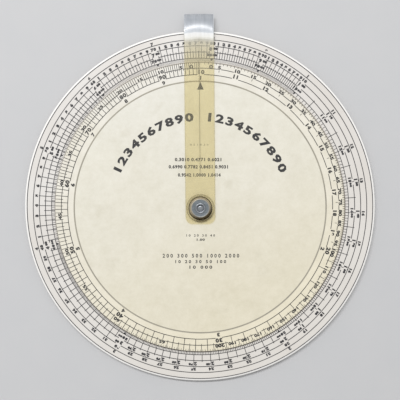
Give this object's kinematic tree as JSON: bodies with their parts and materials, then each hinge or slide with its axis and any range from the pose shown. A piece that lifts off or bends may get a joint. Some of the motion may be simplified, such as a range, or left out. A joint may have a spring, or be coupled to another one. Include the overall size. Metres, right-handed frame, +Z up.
{
  "type": "calculator wheel",
  "caption": "Flat circular slide rule: a printed base disc, a smaller turning dial and a clear cursor strip with a finger tab, all on one central riveted pivot under a pressed cap.",
  "frame": {"origin": "on the pivot axis, at the flat underside of the rivet's back head", "axes": "+Z up along the pivot, square to the discs' faces; +Y along the cursor, from the pivot to its tab"},
  "size_m": [0.19, 0.1997, 0.0071],
  "materials": {
    "white_board": "smooth white board",
    "white_sheet": "satin white sheet",
    "cream_board": "smooth cream board",
    "cream_sheet": "satin cream sheet, yellowed",
    "black_ink": "flat printing ink",
    "clear_film": "clear film, yellowed",
    "brown_fibre": "pressed fibre",
    "rivet_metal": "plain nickelled steel",
    "cap_metal": "dull grey plated steel"
  },
  "bodies": {
    "base": {"base_board": "white_board", "base_face_sheet": "white_sheet", "base_back_sheet": "white_sheet", "base_scale_print": "black_ink", "pivot_rivet": "rivet_metal", "back_washer": "rivet_metal", "dial_washer": "brown_fibre", "cursor_washer": "brown_fibre", "front_cap": "cap_metal"},
    "dial": {"dial_board": "cream_board", "dial_face_sheet": "cream_sheet", "dial_scale_print": "black_ink"},
    "cursor": {"cursor_strip": "clear_film", "cursor_hairline": "black_ink", "cursor_collar": "clear_film"}
  },
  "joints": [
    {"name": "dial_spin", "type": "hinge", "parent": "base", "child": "dial", "pos_m": [0, 0, 0.0038], "axis": [0, 0, 1], "continuous": true},
    {"name": "cursor_swing", "type": "hinge", "parent": "base", "child": "cursor", "pos_m": [0, 0, 0.0048], "axis": [0, 0, 1], "continuous": true}
  ]
}
